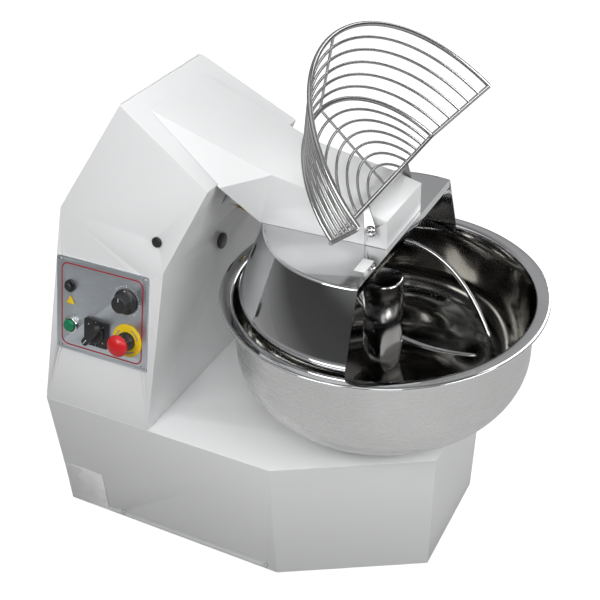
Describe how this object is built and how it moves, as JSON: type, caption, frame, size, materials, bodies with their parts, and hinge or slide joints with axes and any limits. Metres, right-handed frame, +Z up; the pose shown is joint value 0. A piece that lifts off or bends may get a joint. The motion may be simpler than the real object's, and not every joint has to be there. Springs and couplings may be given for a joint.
{
  "type": "fork dough mixer",
  "caption": "Fork dough mixer with turning bowl and central column, slanted fork, fixed and hinged guards, white housing and side control panel.",
  "frame": {"origin": "on the floor, at the centre of the bounding box footprint", "axes": "+X to the right seen from the front, -Y out of the front (bowl side), +Z up"},
  "size_m": [0.56, 0.898, 0.9304],
  "materials": {
    "white_coat": "gloss powder coat",
    "polished_stainless": "mirror-polished stainless steel",
    "plain_steel": "machined",
    "cast_iron": "painted casting",
    "bronze": "cut teeth",
    "brass": "turned",
    "rubber": "matte",
    "panel_metal": "fine brushed, grey-blue",
    "chrome_trim": "bright",
    "black_plastic": "satin moulded",
    "red_plastic": "satin moulded",
    "yellow_plastic": "satin",
    "green_plastic": "satin moulded",
    "label_film": "printed film, blank"
  },
  "bodies": {
    "frame": {"panel_plate": "panel_metal", "panel_screw_1": "plain_steel", "panel_screw_2": "plain_steel", "panel_screw_3": "plain_steel", "panel_screw_4": "plain_steel", "button_bezel": "black_plastic", "caution_sign": "yellow_plastic", "start_bezel": "chrome_trim", "selector_plate": "black_plastic", "stop_disc": "yellow_plastic", "stop_collar": "black_plastic", "fork_gearbox": "cast_iron", "fork_seal": "polished_stainless", "base_housing": "white_coat", "base_plate": "plain_steel", "skirt_screw_1": "plain_steel", "skirt_screw_2": "plain_steel", "skirt_screw_3": "plain_steel", "skirt_screw_4": "plain_steel", "foot_1": "rubber", "foot_2": "rubber", "foot_3": "rubber", "foot_4": "rubber", "tower_housing": "white_coat", "side_plug": "black_plastic", "front_plug": "black_plastic", "rear_cover": "white_coat", "head_cowl": "white_coat", "nose_block": "white_coat", "hinge_bolt_left": "polished_stainless", "hinge_bolt_right": "polished_stainless", "head_beam": "plain_steel", "frame_column": "plain_steel", "guard_switch": "black_plastic", "guard": "polished_stainless", "guard_label": "label_film", "bowl_gearbox": "cast_iron", "bowl_bearing": "cast_iron", "motor_body": "cast_iron", "fork_belt": "rubber", "bowl_belt": "rubber", "skirt_badge": "label_film", "drain_fitting": "brass", "cable_gland": "black_plastic", "power_cable": "rubber"},
    "fork_unit": {"fork": "polished_stainless", "fork_shaft": "plain_steel", "fork_worm_wheel": "bronze"},
    "bowl_unit": {"bowl": "polished_stainless", "bowl_shaft": "plain_steel", "bowl_worm_wheel": "bronze"},
    "fork_worm_unit": {"fork_worm": "plain_steel"},
    "motor_unit": {"motor_rotor": "plain_steel"},
    "bowl_worm_unit": {"bowl_worm": "plain_steel"},
    "wire_guard_unit": {"wire_guard": "polished_stainless"},
    "stop_unit": {"stop_mushroom": "red_plastic"},
    "start_unit": {"start_button": "green_plastic"},
    "button_unit": {"black_button": "black_plastic"},
    "timer_unit": {"timer_knob": "black_plastic"},
    "selector_unit": {"selector_handle": "black_plastic"}
  },
  "joints": [
    {"name": "fork_spin", "type": "hinge", "parent": "frame", "child": "fork_unit", "pos_m": [0.13, -0.06883, 0.46891], "axis": [0, 0.8678, 0.497], "continuous": true},
    {"name": "bowl_spin", "type": "hinge", "parent": "frame", "child": "bowl_unit", "pos_m": [0, -0.169, 0.272], "axis": [0, 0, 1], "continuous": true},
    {"name": "fork_worm_spin", "type": "hinge", "parent": "frame", "child": "fork_worm_unit", "pos_m": [0.13, 0.22973, 0.59149], "axis": [1, 0, 0], "continuous": true},
    {"name": "motor_spin", "type": "hinge", "parent": "frame", "child": "motor_unit", "pos_m": [0, 0.289, 0.132], "axis": [1, 0, 0], "continuous": true},
    {"name": "bowl_worm_spin", "type": "hinge", "parent": "frame", "child": "bowl_worm_unit", "pos_m": [0, -0.091, 0.102], "axis": [1, 0, 0], "continuous": true},
    {"name": "wire_guard_hinge", "type": "hinge", "parent": "frame", "child": "wire_guard_unit", "pos_m": [0, -0.1805, 0.6495], "axis": [1, 0, 0], "range_deg": [0, 135.75]},
    {"name": "stop_press", "type": "slide", "parent": "frame", "child": "stop_unit", "axis": [0.9703, 0, -0.2419], "range_m": [0, 0.004]},
    {"name": "start_press", "type": "slide", "parent": "frame", "child": "start_unit", "axis": [0.9703, 0, -0.2419], "range_m": [0, 0.003]},
    {"name": "button_press", "type": "slide", "parent": "frame", "child": "button_unit", "axis": [0.9703, 0, -0.2419], "range_m": [0, 0.003]},
    {"name": "timer_turn", "type": "hinge", "parent": "frame", "child": "timer_unit", "pos_m": [-0.20551, 0.217, 0.48656], "axis": [-0.9703, 0, 0.2419], "range_deg": [-300, 0]},
    {"name": "selector_turn", "type": "hinge", "parent": "frame", "child": "selector_unit", "pos_m": [-0.22317, 0.276, 0.41573], "axis": [-0.9703, 0, 0.2419], "range_deg": [0, 90]}
  ],
  "couplings": [
    {"joint": "bowl_spin", "follows": "fork_spin", "ratio": 0.25},
    {"joint": "fork_worm_spin", "follows": "fork_spin", "ratio": 20},
    {"joint": "motor_spin", "follows": "fork_spin", "ratio": 30},
    {"joint": "bowl_worm_spin", "follows": "fork_spin", "ratio": 10}
  ]
}
